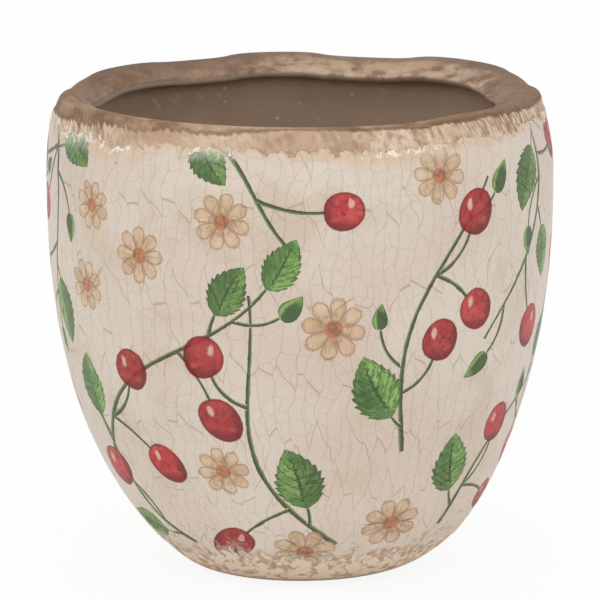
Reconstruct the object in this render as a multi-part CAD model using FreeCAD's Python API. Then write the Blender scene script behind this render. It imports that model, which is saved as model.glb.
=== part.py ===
import FreeCAD, Part
import math
import os

os.makedirs("parts", exist_ok=True)

Vector = FreeCAD.Vector

# A round ceramic cover pot, in millimetres and degrees.
# The origin is at the middle of the footprint, on the surface that the pot stands on, with +Z up.

# Driving sizes of the whole pot, measured over its glaze
belly_diameter = 200.0
pot_height = 190.5
belly_drop = 38.0
mouth_diameter = 197.2
foot_diameter = 83.0

# Clay shell
wall = 8.0
floor_thickness = 9.0
floor_inset = 4.0
foot_ring_width = 13.0
foot_recess_depth = 2.0
foot_recess_draft = 1.5

# Rolled lip: its reach inwards and down from the crest, the depth of its flat underside, and its roundings
lip_width = 16.5
lip_bevel_drop = 5.5
lip_depth = 10.4
crest_radius = 4.0
arris_radius = 1.8

# Rim pressed in by hand at seven places, which leaves soft lobes between them
press_depth = 4.2
press_fade = 32.0

# Wall sagged to one side above the foot, as it was set down wet
sag = 2.0
sag_height = 76.0

# Coats
glaze_thickness = 0.6
glaze_rim_gap = 11.0
glaze_foot_gap = 8.0
glaze_edge_wave = 1.5
glaze_edge_run = 1.5
coat_thickness = 0.5

# Felt pads under the foot ring, the first one at the back
pad_count = 3
pad_diameter = 9.0
pad_height = 1.2

# Where the rim is pressed, and how far the lobe after each press swells back out
press_angles = (11.0, 74.0, 119.0, 166.0, 210.0, 290.0, 348.0)
lobe_shares = (0.88, 0.56, 0.38, 0.65, 0.05, 0.95, 0.30)
lobe_power_share = 1.46
crest_sink_share = 0.58

# Powers of the wall's curve from foot to belly and from belly to mouth, and the heights of its sections
rise_power_share = 2.22
swell_power_share = 0.648
shoulder_power_share = 2.6
sag_peak_share = 0.4
rise_shares = (0.0, 0.012, 0.04, 0.09, 0.17, 0.3, 0.5, 0.75, 1.0)
shoulder_shares = (0.35, 0.7, 1.0)

# Points on each rounding, given by their turn from level
crest_turns = (5.0, 50.0, 95.0)
arris_turns = (110.0, 180.0, 250.0)

ring_points = 36
edge_waves = 7
full_turn = 360.0

# Radii and levels that follow from the sizes above
belly_radius = belly_diameter / 2 - glaze_thickness
mouth_radius = mouth_diameter / 2 - glaze_thickness
foot_radius = foot_diameter / 2
floor_radius = foot_radius - floor_inset
lip_radius = mouth_radius - lip_width
foot_level = pad_height
floor_level = foot_level + floor_thickness
crest_level = foot_level + pot_height
belly_level = crest_level - belly_drop
lip_level = crest_level - lip_depth
glaze_low = foot_level + glaze_foot_gap
glaze_high = crest_level - glaze_rim_gap


def press(angle):
    """How deep the rim is pressed in at an angle."""
    for index, start in enumerate(press_angles):
        span = (press_angles[(index + 1) % len(press_angles)] - start) % full_turn
        ahead = (angle - start) % full_turn
        if ahead < span:
            lobe = math.sin(math.pi * ahead / span) ** lobe_power_share
            return press_depth * (1 - lobe_shares[index] * lobe)
    return press_depth


def press_share(level):
    """How much of the pressing is left at a level: all at the crest and none on the belly."""
    share = min(max(1 - (crest_level - level) / press_fade, 0), 1)
    return share * share * (3 - 2 * share)


def swell(share, low_radius, high_radius):
    """Radius at a share of the rise from foot or floor to belly."""
    rise = (1 - (1 - share) ** rise_power_share) ** swell_power_share
    return low_radius + (high_radius - low_radius) * rise


def outer_radius(level):
    """Radius of the clay's outer wall, before pressing."""
    if level <= belly_level:
        return swell((level - foot_level) / (belly_level - foot_level), foot_radius, belly_radius)
    share = (level - belly_level) / (crest_level - belly_level)
    return belly_radius - (belly_radius - mouth_radius) * share ** shoulder_power_share


def inner_radius(level):
    """Radius of the clay's inner wall, before pressing."""
    if level <= belly_level:
        share = (level - floor_level) / (belly_level - floor_level)
        return swell(share, floor_radius, belly_radius - wall)
    return outer_radius(level) - wall


def sag_at(level):
    """How far the wall has sagged to the +X side at a level: nothing at the foot or above the sag."""
    share = min(max((level - foot_level) / sag_height, 0), 1)
    return sag * math.sin(math.pi * share ** sag_peak_share) ** 2


def wall_point(angle, radius, level, share):
    """Point of a section at an angle, pressed in and sunk by a share of the rim's pressing."""
    depth = press(angle) * share
    reach = radius - depth
    turn = math.radians(angle)
    sagged = reach * math.cos(turn) + sag_at(level)
    return Vector(sagged, reach * math.sin(turn), level - depth * crest_sink_share)


def ring(radius, level, share):
    """Level section of the pot."""
    return [wall_point(full_turn * index / ring_points, radius, level, share) for index in range(ring_points)]


def waved_ring(level, distance=0):
    """Section on the outer wall that waves up and down about a level, a distance outside the clay."""
    points = []
    for index in range(ring_points):
        angle = full_turn * index / ring_points
        height = level + glaze_edge_wave * math.sin(math.radians(edge_waves * angle))
        points.append(wall_point(angle, outer_radius(height) + distance, height, press_share(height)))
    return points


def skin(rings):
    """One smooth face through every point of its sections, closed around the pot."""
    steps = [0]
    for low, high in zip(rings[:-1], rings[1:]):
        steps.append(steps[-1] + low[0].distanceToPoint(high[0]))
    around = list(range(ring_points + 1))
    hoops = []
    for points in rings:
        hoop = Part.BSplineCurve()
        hoop.interpolate(Points=points, Parameters=around, PeriodicFlag=True)
        hoops.append(hoop.getPoles())
    columns = []
    for poles in zip(*hoops):
        meridian = Part.BSplineCurve()
        meridian.interpolate(Points=list(poles), Parameters=steps)
        columns.append(meridian.getPoles())
    surface = Part.BSplineSurface()
    surface.buildFromPolesMultsKnots(columns, hoop.getMultiplicities(), meridian.getMultiplicities(),
                                     hoop.getKnots(), meridian.getKnots(), True, False,
                                     hoop.Degree, meridian.Degree)
    return surface.toShape()


def rims(face):
    """The closed edges that end a skin, lowest first."""
    ends = [edge for edge in face.Edges if edge.isClosed()]
    return sorted(ends, key=lambda edge: edge.CenterOfMass.z)


def cap(edge):
    """Flat face inside a closed edge."""
    return Part.Face(Part.Wire([edge]))


def solid(faces):
    """Solid inside faces that meet edge to edge."""
    shell = Part.makeShell(faces)
    shell.sewShape()
    return Part.makeSolid(shell)


def wall_sections(radius_at, low):
    """Radius, level and pressing of a wall's sections, from its lowest level to under the lip."""
    levels = [low + (belly_level - low) * share for share in rise_shares]
    levels += [belly_level + (lip_level - belly_level) * share for share in shoulder_shares]
    return [(radius_at(level), level, press_share(level)) for level in levels]


def offset(sections, distance):
    """Sections moved square to the wall that they follow, outwards for a distance over zero."""
    moved = []
    for index, (radius, level, share) in enumerate(sections):
        low = sections[max(index - 1, 0)]
        high = sections[min(index + 1, len(sections) - 1)]
        run = high[0] - low[0]
        rise = high[1] - low[1]
        scale = distance / math.hypot(run, rise)
        moved.append((radius + rise * scale, level - run * scale, share))
    return moved


def rounding(centre_radius, centre_level, radius, turns):
    """Sections on an edge's rounding."""
    arc = []
    for degrees in turns:
        turn = math.radians(degrees)
        arc.append((centre_radius + radius * math.cos(turn), centre_level + radius * math.sin(turn), 1))
    return arc


def rings(sections):
    """Points of level sections."""
    return [ring(*section) for section in sections]


def glazed_sections(distance=0):
    """Sections of the outer wall well inside the glaze's two edges, a distance outside the clay."""
    low = glaze_low + glaze_edge_run + glaze_edge_wave
    high = glaze_high - glaze_edge_run - glaze_edge_wave
    wall_line = offset(wall_sections(outer_radius, foot_level), distance)
    return [section for section in wall_line if low < section[1] < high]


def glazed_wall():
    """The clay's outer wall between the glaze's two edges, where clay and glaze meet."""
    return skin([waved_ring(glaze_low)] + rings(glazed_sections()) + [waved_ring(glaze_high)])


def inner_wall():
    """The clay's inner wall from the floor to the crease under the lip, where clay and coat meet."""
    return skin(rings(wall_sections(inner_radius, floor_level)))


def clay_body():
    """Fired shell: up the outside and over the lip, down the inside to the floor, on a turned foot."""
    low = glaze_low - glaze_edge_wave
    foot = [section for section in wall_sections(outer_radius, foot_level) if section[1] < low]
    foot_band = skin(rings(foot) + [waved_ring(glaze_low)])
    crest = rounding(mouth_radius - crest_radius, crest_level - crest_radius, crest_radius, crest_turns)
    arris = rounding(lip_radius + arris_radius, crest_level - lip_bevel_drop - arris_radius,
                     arris_radius, arris_turns)
    crease = wall_sections(inner_radius, floor_level)[-1]
    collar_level = crest_level - 2 * crest_radius
    collar = (outer_radius(collar_level), collar_level, press_share(collar_level))
    rim_band = skin([waved_ring(glaze_high)] + rings([collar] + crest + arris + [crease]))
    inside = inner_wall()
    shell = solid([foot_band, glazed_wall(), rim_band, inside, cap(rims(foot_band)[0]), cap(rims(inside)[0])])
    recess_radius = foot_radius - foot_ring_width
    recess = Part.makeCone(recess_radius + foot_recess_draft, recess_radius - foot_recess_draft,
                           foot_recess_depth * 2, Vector(0, 0, foot_level - foot_recess_depth))
    return shell.cut(recess).Solids[0]


def outer_glaze():
    """Glaze coat on the outer wall, thinned out to a waved edge under the rim and above the foot."""
    full = [waved_ring(glaze_low + glaze_edge_run, glaze_thickness)]
    full += rings(glazed_sections(glaze_thickness))
    full.append(waved_ring(glaze_high - glaze_edge_run, glaze_thickness))
    gloss = skin([waved_ring(glaze_low)] + full + [waved_ring(glaze_high)])
    return solid([glazed_wall(), gloss])


def inner_coat():
    """Sealing coat on the floor and the inner wall, up to the crease under the lip."""
    outside = inner_wall()
    sections = offset(wall_sections(inner_radius, floor_level), -coat_thickness)
    sections[0] = (floor_radius - coat_thickness, floor_level + coat_thickness, 0)
    lining = skin(rings(sections))
    low_outer, high_outer = rims(outside)
    low_inner, high_inner = rims(lining)
    edge = Part.makeRuledSurface(high_outer, high_inner)
    return solid([outside, lining, cap(low_outer), cap(low_inner), edge])


def felt_pad(index):
    """Round pad stuck under the middle of the foot ring."""
    turn = 2 * math.pi * index / pad_count
    reach = foot_radius - foot_ring_width / 2
    place = Vector(reach * math.sin(turn), reach * math.cos(turn), 0)
    return Part.makeCylinder(pad_diameter / 2, pad_height, place)


pieces = {"clay_body": clay_body(), "outer_glaze": outer_glaze(), "inner_coat": inner_coat()}
for index in range(pad_count):
    pieces["felt_pad_%d" % (index + 1)] = felt_pad(index)

for name, shape in pieces.items():
    shape.exportStep("parts/%s.step" % name)
    print(name, "solids", len(shape.Solids), "valid", shape.isValid(), "volume", round(shape.Volume))
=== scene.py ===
import math

import bpy
import numpy as np
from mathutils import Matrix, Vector
from mathutils.geometry import delaunay_2d_cdt


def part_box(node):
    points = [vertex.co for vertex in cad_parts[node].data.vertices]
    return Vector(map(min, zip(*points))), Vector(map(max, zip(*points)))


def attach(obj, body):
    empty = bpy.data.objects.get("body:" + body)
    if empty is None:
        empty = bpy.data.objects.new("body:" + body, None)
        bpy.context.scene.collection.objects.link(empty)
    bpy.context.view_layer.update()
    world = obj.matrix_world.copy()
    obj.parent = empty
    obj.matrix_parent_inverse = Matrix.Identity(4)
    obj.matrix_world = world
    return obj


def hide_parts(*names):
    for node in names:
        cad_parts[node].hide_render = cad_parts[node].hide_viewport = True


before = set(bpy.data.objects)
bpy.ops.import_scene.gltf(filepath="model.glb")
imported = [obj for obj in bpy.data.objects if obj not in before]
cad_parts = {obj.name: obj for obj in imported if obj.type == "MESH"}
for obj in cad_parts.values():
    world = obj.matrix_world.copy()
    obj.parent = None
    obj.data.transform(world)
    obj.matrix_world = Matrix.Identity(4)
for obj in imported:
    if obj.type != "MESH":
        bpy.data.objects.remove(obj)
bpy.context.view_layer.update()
clayLow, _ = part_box("clay_body")
glazeLow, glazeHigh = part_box("outer_glaze")
scene = bpy.context.scene
mm = 0.001
fullTurn = 2 * math.pi


# Node trees written as sums: a Wire is one output socket, and Python's operators on it add Math nodes

class Wire:
    def __init__(self, bench, socket):
        self.bench = bench
        self.socket = socket

    def math(self, operation, *others):
        return self.bench.math(operation, self, *others)

    def vector(self, operation, *others):
        output = 1 if operation == "LENGTH" else 0
        return self.bench.node("ShaderNodeVectorMath", {"operation": operation}, (self, *others), output)

    def __neg__(self):
        return self.math("MULTIPLY", -1.0)

    def __abs__(self):
        return self.math("ABSOLUTE")

    def below(self, limit, softness):  # 1 where the value is under the limit, 0 above it
        return self.bench.ramp(self, limit + softness, limit - softness)

    def above(self, limit, softness):
        return self.bench.ramp(self, limit - softness, limit + softness)

    def parts(self):
        split = self.bench.node("ShaderNodeSeparateXYZ", {}, (self,))
        return [Wire(self.bench, socket) for socket in split.socket.node.outputs]


def overload(name, operation):  # an operator on wires, and its reflected form
    setattr(Wire, "__%s__" % name, lambda wire, other: wire.bench.math(operation, wire, other))
    setattr(Wire, "__r%s__" % name, lambda wire, other: wire.bench.math(operation, other, wire))


for name, operation in (("add", "ADD"), ("sub", "SUBTRACT"), ("mul", "MULTIPLY"), ("truediv", "DIVIDE"),
                        ("pow", "POWER"), ("mod", "FLOORED_MODULO")):
    overload(name, operation)


class NodeBench:
    def __init__(self, tree):
        self.tree = tree

    def feed(self, socket, value):  # by a link or with a fixed value
        if isinstance(value, Wire):
            self.tree.links.new(value.socket, socket)
        else:
            socket.default_value = value

    def node(self, kind, settings=None, inputs=(), output=0):
        made = self.tree.nodes.new(kind)
        for name, value in (settings or {}).items():
            if name == "curve":
                setCurve(made.mapping, value)
            else:
                setattr(made, name, value)
        for name, value in inputs.items() if isinstance(inputs, dict) else enumerate(inputs):
            self.feed(made.inputs[name], value)
        return Wire(self, made.outputs[output])

    def math(self, operation, *values):
        return self.node("ShaderNodeMath", {"operation": operation}, values)

    def ramp(self, value, low, high):  # from 0 at the first limit to 1 at the second
        return self.node("ShaderNodeMapRange", {"interpolation_type": "SMOOTHSTEP"}, (value, low, high))

    def blend(self, share, first, second, mode="MIX"):
        settings = {"data_type": "RGBA", "blend_type": mode}
        return self.node("ShaderNodeMix", settings, {0: share, 6: first, 7: second}, 2)

    def combine(self, x, y, z):
        return self.node("ShaderNodeCombineXYZ", {}, (x, y, z))

    def noise(self, place, scale, detail=2.0, roughness=0.5, distortion=0.0, output=0):
        inputs = {"Vector": place, "Scale": scale, "Detail": detail, "Roughness": roughness,
                  "Distortion": distortion}
        return self.node("ShaderNodeTexNoise", {}, inputs, output)


def setCurve(mapping, points):
    curve = mapping.curves[0]
    while len(curve.points) < len(points):
        curve.points.new(0.5, 0.5)
    for point, place in zip(curve.points, points):
        point.location = place
        point.handle_type = "AUTO_CLAMPED"
    mapping.update()


def srgb(red, green, blue):
    channels = []
    for byte in (red, green, blue):
        value = byte / 255
        channels.append(value / 12.92 if value <= 0.04045 else ((value + 0.055) / 1.055) ** 2.4)
    return (*channels, 1.0)


def addObject(name, data):
    made = bpy.data.objects.new(name, data)
    scene.collection.objects.link(made)
    return made


def pointValues(mesh, name, values):  # one number at each point, for node trees and materials to read
    mesh.attributes.new(name, "FLOAT", "POINT").data.foreach_set("value", values.astype(np.float32))


# Form of the pot: one profile that is spun, pressed in at the rim and sagged above the foot

potForm = {
    "footLevel": clayLow.z,
    "height": 190.5 * mm,
    "bellyDrop": 38.0 * mm,
    "glaze": 0.6 * mm,
    "footRadius": 41.5 * mm,
    "mouthDrawIn": 1.4 * mm,
    "wall": 8.0 * mm,
    "floor": 9.0 * mm,
    "floorInset": 4.0 * mm,
    "footRing": 13.0 * mm,
    "recess": 2.0 * mm,
    "recessDraft": 1.0 * mm,
    "footRound": 0.4 * mm,
    "lipWidth": 16.5 * mm,
    "lipDrop": 5.5 * mm,
    "lipDepth": 10.4 * mm,
    "crestRound": 4.0 * mm,
    "crestTurns": (5, 92),
    "arrisRound": 1.8 * mm,
    "arrisTurns": (104, 250),
    "risePower": 2.22,
    "swellPower": 0.648,
    "shoulderPower": 2.6,
    "pressDepth": 4.2 * mm,
    "pressFade": 32.0 * mm,
    "pressSink": 0.58,
    "presses": (11, 74, 119, 166, 210, 290, 348),
    "lobes": (0.88, 0.56, 0.38, 0.65, 0.05, 0.95, 0.30),
    "lobePower": 1.46,
    "sag": 2.0 * mm,
    "sagHeight": 76.0 * mm,
    "sagPower": 0.4,
    "lipSwing": 2.4 * mm,
    "lipWide": math.radians(10),
    "dentTurn": math.radians(180),
    "dentWide": math.radians(11),
    "dentShare": 0.42,
    "dentPower": 6.0,
    "handWobble": 0.35 * mm,
    "wobbleScale": 22.0,
    "stillRadius": 20.0 * mm,
}
bellyRadius = (glazeHigh.x - glazeLow.x) / 2 - potForm["glaze"]
mouthRadius = bellyRadius - potForm["mouthDrawIn"]
footLevel = potForm["footLevel"]
crestLevel = footLevel + potForm["height"]
bellyLevel = crestLevel - potForm["bellyDrop"]
floorLevel = footLevel + potForm["floor"]
lipLevel = crestLevel - potForm["lipDepth"]


def swell(level, lowLevel, low, high):  # radius on the way from foot or floor to belly
    share = np.clip((level - lowLevel) / (bellyLevel - lowLevel), 0, 1)
    return low + (high - low) * (1 - (1 - share) ** potForm["risePower"]) ** potForm["swellPower"]


def outerRadius(level):
    share = np.clip((level - bellyLevel) / (crestLevel - bellyLevel), 0, 1)
    shoulder = bellyRadius - (bellyRadius - mouthRadius) * share ** potForm["shoulderPower"]
    return np.where(level < bellyLevel, swell(level, footLevel, potForm["footRadius"], bellyRadius), shoulder)


def innerRadius(level):
    floorRadius = potForm["footRadius"] - potForm["floorInset"]
    low = swell(level, floorLevel, floorRadius, bellyRadius - potForm["wall"])
    return np.where(level < bellyLevel, low, outerRadius(level) - potForm["wall"])


def pressShare(level):
    share = np.clip(1 - (crestLevel - level) / potForm["pressFade"], 0, 1)
    return share * share * (3 - 2 * share)


def sagAt(level):
    share = np.clip((level - footLevel) / potForm["sagHeight"], 0, 1)
    return potForm["sag"] * np.sin(math.pi * share ** potForm["sagPower"]) ** 2


def lipShare(radius, level):  # nothing on the lip's outer half and in the pot, 1 on its inner arris
    near = np.clip((level - lipLevel) / (potForm["lipDepth"] * 0.4), 0, 1)
    middle = mouthRadius - potForm["lipWidth"] / 2
    return near * np.clip((middle - radius) / (potForm["lipWidth"] / 2), 0, 1)


def run(start, end, step):  # points of a straight run, without its last one
    count = max(1, round(math.dist(start, end) / step))
    return [tuple(a + (b - a) * index / count for a, b in zip(start, end)) for index in range(count)]


def arc(radius, level, size, turns, count):
    turns = np.radians(np.linspace(*turns, count))
    return [(radius + size * math.cos(turn), level + size * math.sin(turn)) for turn in turns]


def wallRun(radiusAt, low, high, count, power):
    levels = low + (high - low) * np.linspace(0, 1, count) ** power
    return [(float(radiusAt(level)), float(level)) for level in levels]


profileCuts = {  # how finely each stretch is cut: by a step, or by rows and how they crowd low down
    "columns": 480,
    "recess": 4.0 * mm,
    "draft": 0.5 * mm,
    "ring": 1.5 * mm,
    "footStart": 0.3 * mm,
    "footZone": 26.0 * mm,
    "foot": (30, 1.6),
    "bellyStart": 28.0 * mm,
    "belly": (28, 1.0),
    "rimZone": 30.0 * mm,
    "rimStart": 29.0 * mm,
    "rim": (24, 1.0),
    "crest": 16,
    "arris": 15,
    "lip": 0.8 * mm,
    "inside": (30, 1.8),
}


def clayProfile():
    form = potForm
    cuts = profileCuts
    rim = form["crestRound"]
    edge = form["arrisRound"]
    ringRadius = form["footRadius"] - form["footRing"]
    recessRadius = ringRadius - form["recessDraft"]
    recessLevel = footLevel + form["recess"]
    arrisRadius = mouthRadius - form["lipWidth"] + edge
    arrisLevel = crestLevel - form["lipDrop"] - edge
    points = run((0.0, recessLevel), (recessRadius, recessLevel), cuts["recess"])
    points += run((recessRadius, recessLevel), (ringRadius, footLevel), cuts["draft"])
    points += run((ringRadius, footLevel), (form["footRadius"] - form["footRound"], footLevel), cuts["ring"])
    stretches = ((footLevel + cuts["footStart"], footLevel + cuts["footZone"], "foot"),
                 (footLevel + cuts["bellyStart"], crestLevel - cuts["rimZone"], "belly"),
                 (crestLevel - cuts["rimStart"], crestLevel - 2 * rim, "rim"))
    for low, high, name in stretches:
        points += wallRun(outerRadius, low, high, *cuts[name])
    points += arc(mouthRadius - rim, crestLevel - rim, rim, form["crestTurns"], cuts["crest"])
    points += arc(arrisRadius, arrisLevel, edge, form["arrisTurns"], cuts["arris"])
    points += run(points[-1], (float(innerRadius(lipLevel)), lipLevel), cuts["lip"])[1:]
    points += wallRun(innerRadius, floorLevel, lipLevel, *cuts["inside"])[::-1]
    return points + [(0.0, floorLevel)]


pressInputs = ("pressDepth", "pressSink", "lipSwing", "lipWide", "dentTurn", "dentWide", "dentShare",
               "dentPower", "handWobble", "wobbleScale", "stillRadius")


def lobeCurve():  # how deep the rim is pressed, once around: 1 at each press and less between them
    starts = potForm["presses"]
    points = []
    for place, start in enumerate(starts):
        span = (starts[(place + 1) % len(starts)] - start) % 360
        for part in (0, 0.25, 0.5, 0.75):
            swing = math.sin(math.pi * part) ** potForm["lobePower"]
            points.append(((start - starts[0] + part * span) / 360, 1 - potForm["lobes"][place] * swing))
    return points + [(1.0, 1.0)]


def spinTree():  # spins a profile into a pot and presses its rim
    tree = bpy.data.node_groups.new("spinAndPress", "GeometryNodeTree")
    tree.is_modifier = True
    sockets = {}
    kinds = {"Profile": "Geometry", "Columns": "Int", "Close": "Bool", "Finish": "Material"}
    for name in (*kinds, *pressInputs):
        kind = "NodeSocket" + kinds.get(name, "Float")
        sockets[name] = tree.interface.new_socket(name=name, in_out="INPUT", socket_type=kind).identifier
    tree.interface.new_socket(name="Pot", in_out="OUTPUT", socket_type="NodeSocketGeometry")
    bench = NodeBench(tree)
    source = tree.nodes.new("NodeGroupInput")
    given = {name: Wire(bench, source.outputs[name]) for name in sockets}
    rows = bench.node("GeometryNodeAttributeDomainSize", {"component": "MESH"}, (given["Profile"],))
    grid = bench.node("GeometryNodeMeshGrid", {}, (1.0, 1.0, given["Columns"] + 1, rows))
    index = bench.node("GeometryNodeInputIndex")
    column = (index / rows).math("FLOOR")
    row = index - column * rows

    def sampled(value, kind):
        return bench.node("GeometryNodeSampleIndex", {"data_type": kind, "domain": "POINT"},
                          {"Geometry": given["Profile"], "Value": value, "Index": row})

    def attribute(name):
        value = bench.node("GeometryNodeInputNamedAttribute", {"data_type": "FLOAT"}, (name,))
        return sampled(value, "FLOAT")

    radius, _, level = sampled(bench.node("GeometryNodeInputPosition"), "FLOAT_VECTOR").parts()
    turn = column / given["Columns"]
    angle = turn * fullTurn
    sine = angle.math("SINE")
    cosine = angle.math("COSINE")
    around = (turn - potForm["presses"][0] / 360) % 1.0
    lobes = bench.node("ShaderNodeFloatCurve", {"curve": lobeCurve()}, {"Value": around})
    off = (angle - given["dentTurn"]) / given["dentWide"]
    dent = (-(off * off)).math("EXPONENT") * given["dentShare"]
    share = attribute("pressShare")
    depth = (lobes * share + dent * share ** given["dentPower"]) * given["pressDepth"]
    still = bench.combine(radius * cosine, radius * sine, level)
    wobble = bench.noise(still, given["wobbleScale"], 3.0, 0.55)
    swing = (angle - given["lipWide"]).math("COSINE") * given["lipSwing"] * attribute("lipShare")
    away = (radius / given["stillRadius"]).math("MINIMUM", 1.0)  # the floor's middle stays still
    reach = radius - depth - swing - wobble * given["handWobble"] * away
    spun = bench.combine(reach * cosine + attribute("sagReach"), reach * sine,
                         level - depth * given["pressSink"])
    marked = bench.node("GeometryNodeStoreNamedAttribute", {"data_type": "FLOAT", "domain": "POINT"},
                        {"Geometry": grid, "Name": "path", "Value": attribute("path")})
    placed = bench.node("GeometryNodeSetPosition", {}, {"Geometry": marked, "Position": spun})
    closed = bench.node("GeometryNodeMergeByDistance", {}, {"Geometry": placed, "Distance": 0.001 * mm})
    chosen = bench.node("GeometryNodeSwitch", {"input_type": "GEOMETRY"}, (given["Close"], placed, closed))
    smooth = bench.node("GeometryNodeSetShadeSmooth", {}, {"Geometry": chosen})
    real = bench.node("GeometryNodeRealizeInstances", {}, (smooth,))
    coated = bench.node("GeometryNodeSetMaterial", {}, {"Geometry": real, "Material": given["Finish"]})
    tree.links.new(coated.socket, tree.nodes.new("NodeGroupOutput").inputs[0])
    return tree, sockets


def plainMesh(name, obj):  # the evaluated mesh as a plain one, with the modifiers gone
    depsgraph = bpy.context.evaluated_depsgraph_get()
    mesh = bpy.data.meshes.new_from_object(obj.evaluated_get(depsgraph))
    mesh.name = name
    obj.modifiers.clear()
    obj.data = mesh
    return obj


def spin(name, points, columns, material, closed=True):
    radii, levels = np.array(points).T
    profile = bpy.data.meshes.new(name)
    profile.from_pydata([(radius, 0.0, level) for radius, level in points], [], [])
    path = np.concatenate([[0], np.cumsum(np.hypot(np.diff(radii), np.diff(levels)))]) / mm
    pointValues(profile, "path", path - path[np.argmax(levels)])  # millimetres from the highest point
    pointValues(profile, "pressShare", pressShare(levels))
    pointValues(profile, "sagReach", sagAt(levels))
    pointValues(profile, "lipShare", lipShare(radii, levels))
    obj = addObject(name, profile)
    modifier = obj.modifiers.new("spin", "NODES")
    modifier.node_group, sockets = potTree
    values = {"Columns": columns, "Close": closed, "Finish": material}
    values.update({key: potForm[key] for key in pressInputs})
    for key, value in values.items():
        modifier[sockets[key]] = value
    return plainMesh(name, obj)


potTree = spinTree()


# Glaze: a sheet unrolled from the wall, cut to its ragged edges and laid back on the clay

glazeCut = {
    "columns": 720,
    "rows": 300,
    "low": 1.0 * mm,
    "high": 4.5 * mm,
    "seamTurn": 0.25,
    "normalStep": 0.4,
}


def squareTo(surface, u, v, step):  # unit normals of a surface that is a function of u and v
    across = surface(u + step, v) - surface(u - step, v)
    upward = surface(u, v + step) - surface(u, v - step)
    normal = np.cross(across, upward)
    return normal / np.linalg.norm(normal, axis=-1, keepdims=True)


class Wall:
    # The outer wall unrolled without distorting shapes: U runs around and V up, in millimetres at the belly.
    # Near the foot the sheet is larger than the wall by bellyRadius / radius.

    def __init__(self):
        columns, rows = glazeCut["columns"], glazeCut["rows"]
        self.levels = np.linspace(footLevel + glazeCut["low"], crestLevel - glazeCut["high"], rows)
        radii = outerRadius(self.levels)
        gauge = spin("wallGauge", list(zip(radii.tolist(), self.levels.tolist())), columns, None, False)
        coords = np.empty(len(gauge.data.vertices) * 3)
        gauge.data.vertices.foreach_get("co", coords)
        bpy.data.objects.remove(gauge)
        self.grid = coords.reshape(columns + 1, rows, 3)
        steps = np.hypot(np.diff(radii), np.diff(self.levels))
        middle = (radii[1:] + radii[:-1]) / 2
        self.scale = bellyRadius / radii
        self.heights = np.concatenate([[0], np.cumsum(steps * bellyRadius / middle)]) / mm
        self.lengths = np.concatenate([[0], np.cumsum(steps)]) / mm
        self.width = fullTurn * bellyRadius / mm
        self.height = float(self.heights[-1])

    def shrink(self, v):  # how many sheet millimetres make one real one
        return np.interp(v, self.heights, self.scale)

    def atLevel(self, level):
        return float(np.interp(level, self.levels, self.heights))

    def climbed(self, distance):  # the sheet's V at a distance up the wall from the foot, in real millimetres
        return np.interp(distance, self.lengths, self.heights)

    def clay(self, u, v):
        grid = self.grid
        column = (np.asarray(u) / self.width + glazeCut["seamTurn"]) % 1 * glazeCut["columns"]
        row = np.interp(v, self.heights, np.arange(glazeCut["rows"]))
        i = np.minimum(column.astype(int), glazeCut["columns"] - 1)
        j = np.minimum(row.astype(int), glazeCut["rows"] - 2)
        a = (column - i)[..., None]
        b = (row - j)[..., None]
        low = grid[i, j] * (1 - a) + grid[i + 1, j] * a
        high = grid[i, j + 1] * (1 - a) + grid[i + 1, j + 1] * a
        return low * (1 - b) + high * b

    def place(self, u, v, lift=0.0):  # points of the sheet lifted off the clay, and the clay's normals there
        normal = squareTo(self.clay, u, v, glazeCut["normalStep"])
        return self.clay(u, v) + normal * np.asarray(lift)[..., None], normal


def ripple(points, size, seed, waves=36):  # smooth seeded noise, about -1 to 1, from waves in all directions
    rng = np.random.default_rng(seed)
    directions = rng.normal(size=(waves, 3))
    directions /= np.linalg.norm(directions, axis=1, keepdims=True)
    lengths = rng.uniform(0.6, 1.7, waves) * fullTurn / size
    phases = rng.uniform(0, fullTurn, waves)
    values = np.zeros(len(points))
    for direction, length, phase in zip(directions, lengths, phases):
        values += np.cos(points @ (direction * length) + phase)
    return values / math.sqrt(waves)


wornEdge = {  # ripples are given by how far they reach, their size and their seed, in millimetres
    "step": 0.75,
    "margin": 2.5,
    "borderDepth": -0.2,
    "rimGap": 9.6 * mm,
    "rimRise": 2.5,
    "rimSway": ((2.0, 45, 3), (1.0, 12, 4)),
    "rimStreak": (2.6, 3.2, 5),
    "rimFlake": (1.0, 3.4, 6),
    "streakTwist": 0.016,
    "streakStretch": 0.22,
    "footGap": 8.0 * mm,
    "footWorn": ((-42, 13.0), (72, 9.0), (170, 8.0)),
    "footSway": (3.0, 60, 7),
    "footChips": ((4.4, 9, 8), (3.52, 3.2, 9), (1.98, 1.9, 10)),
}


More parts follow.
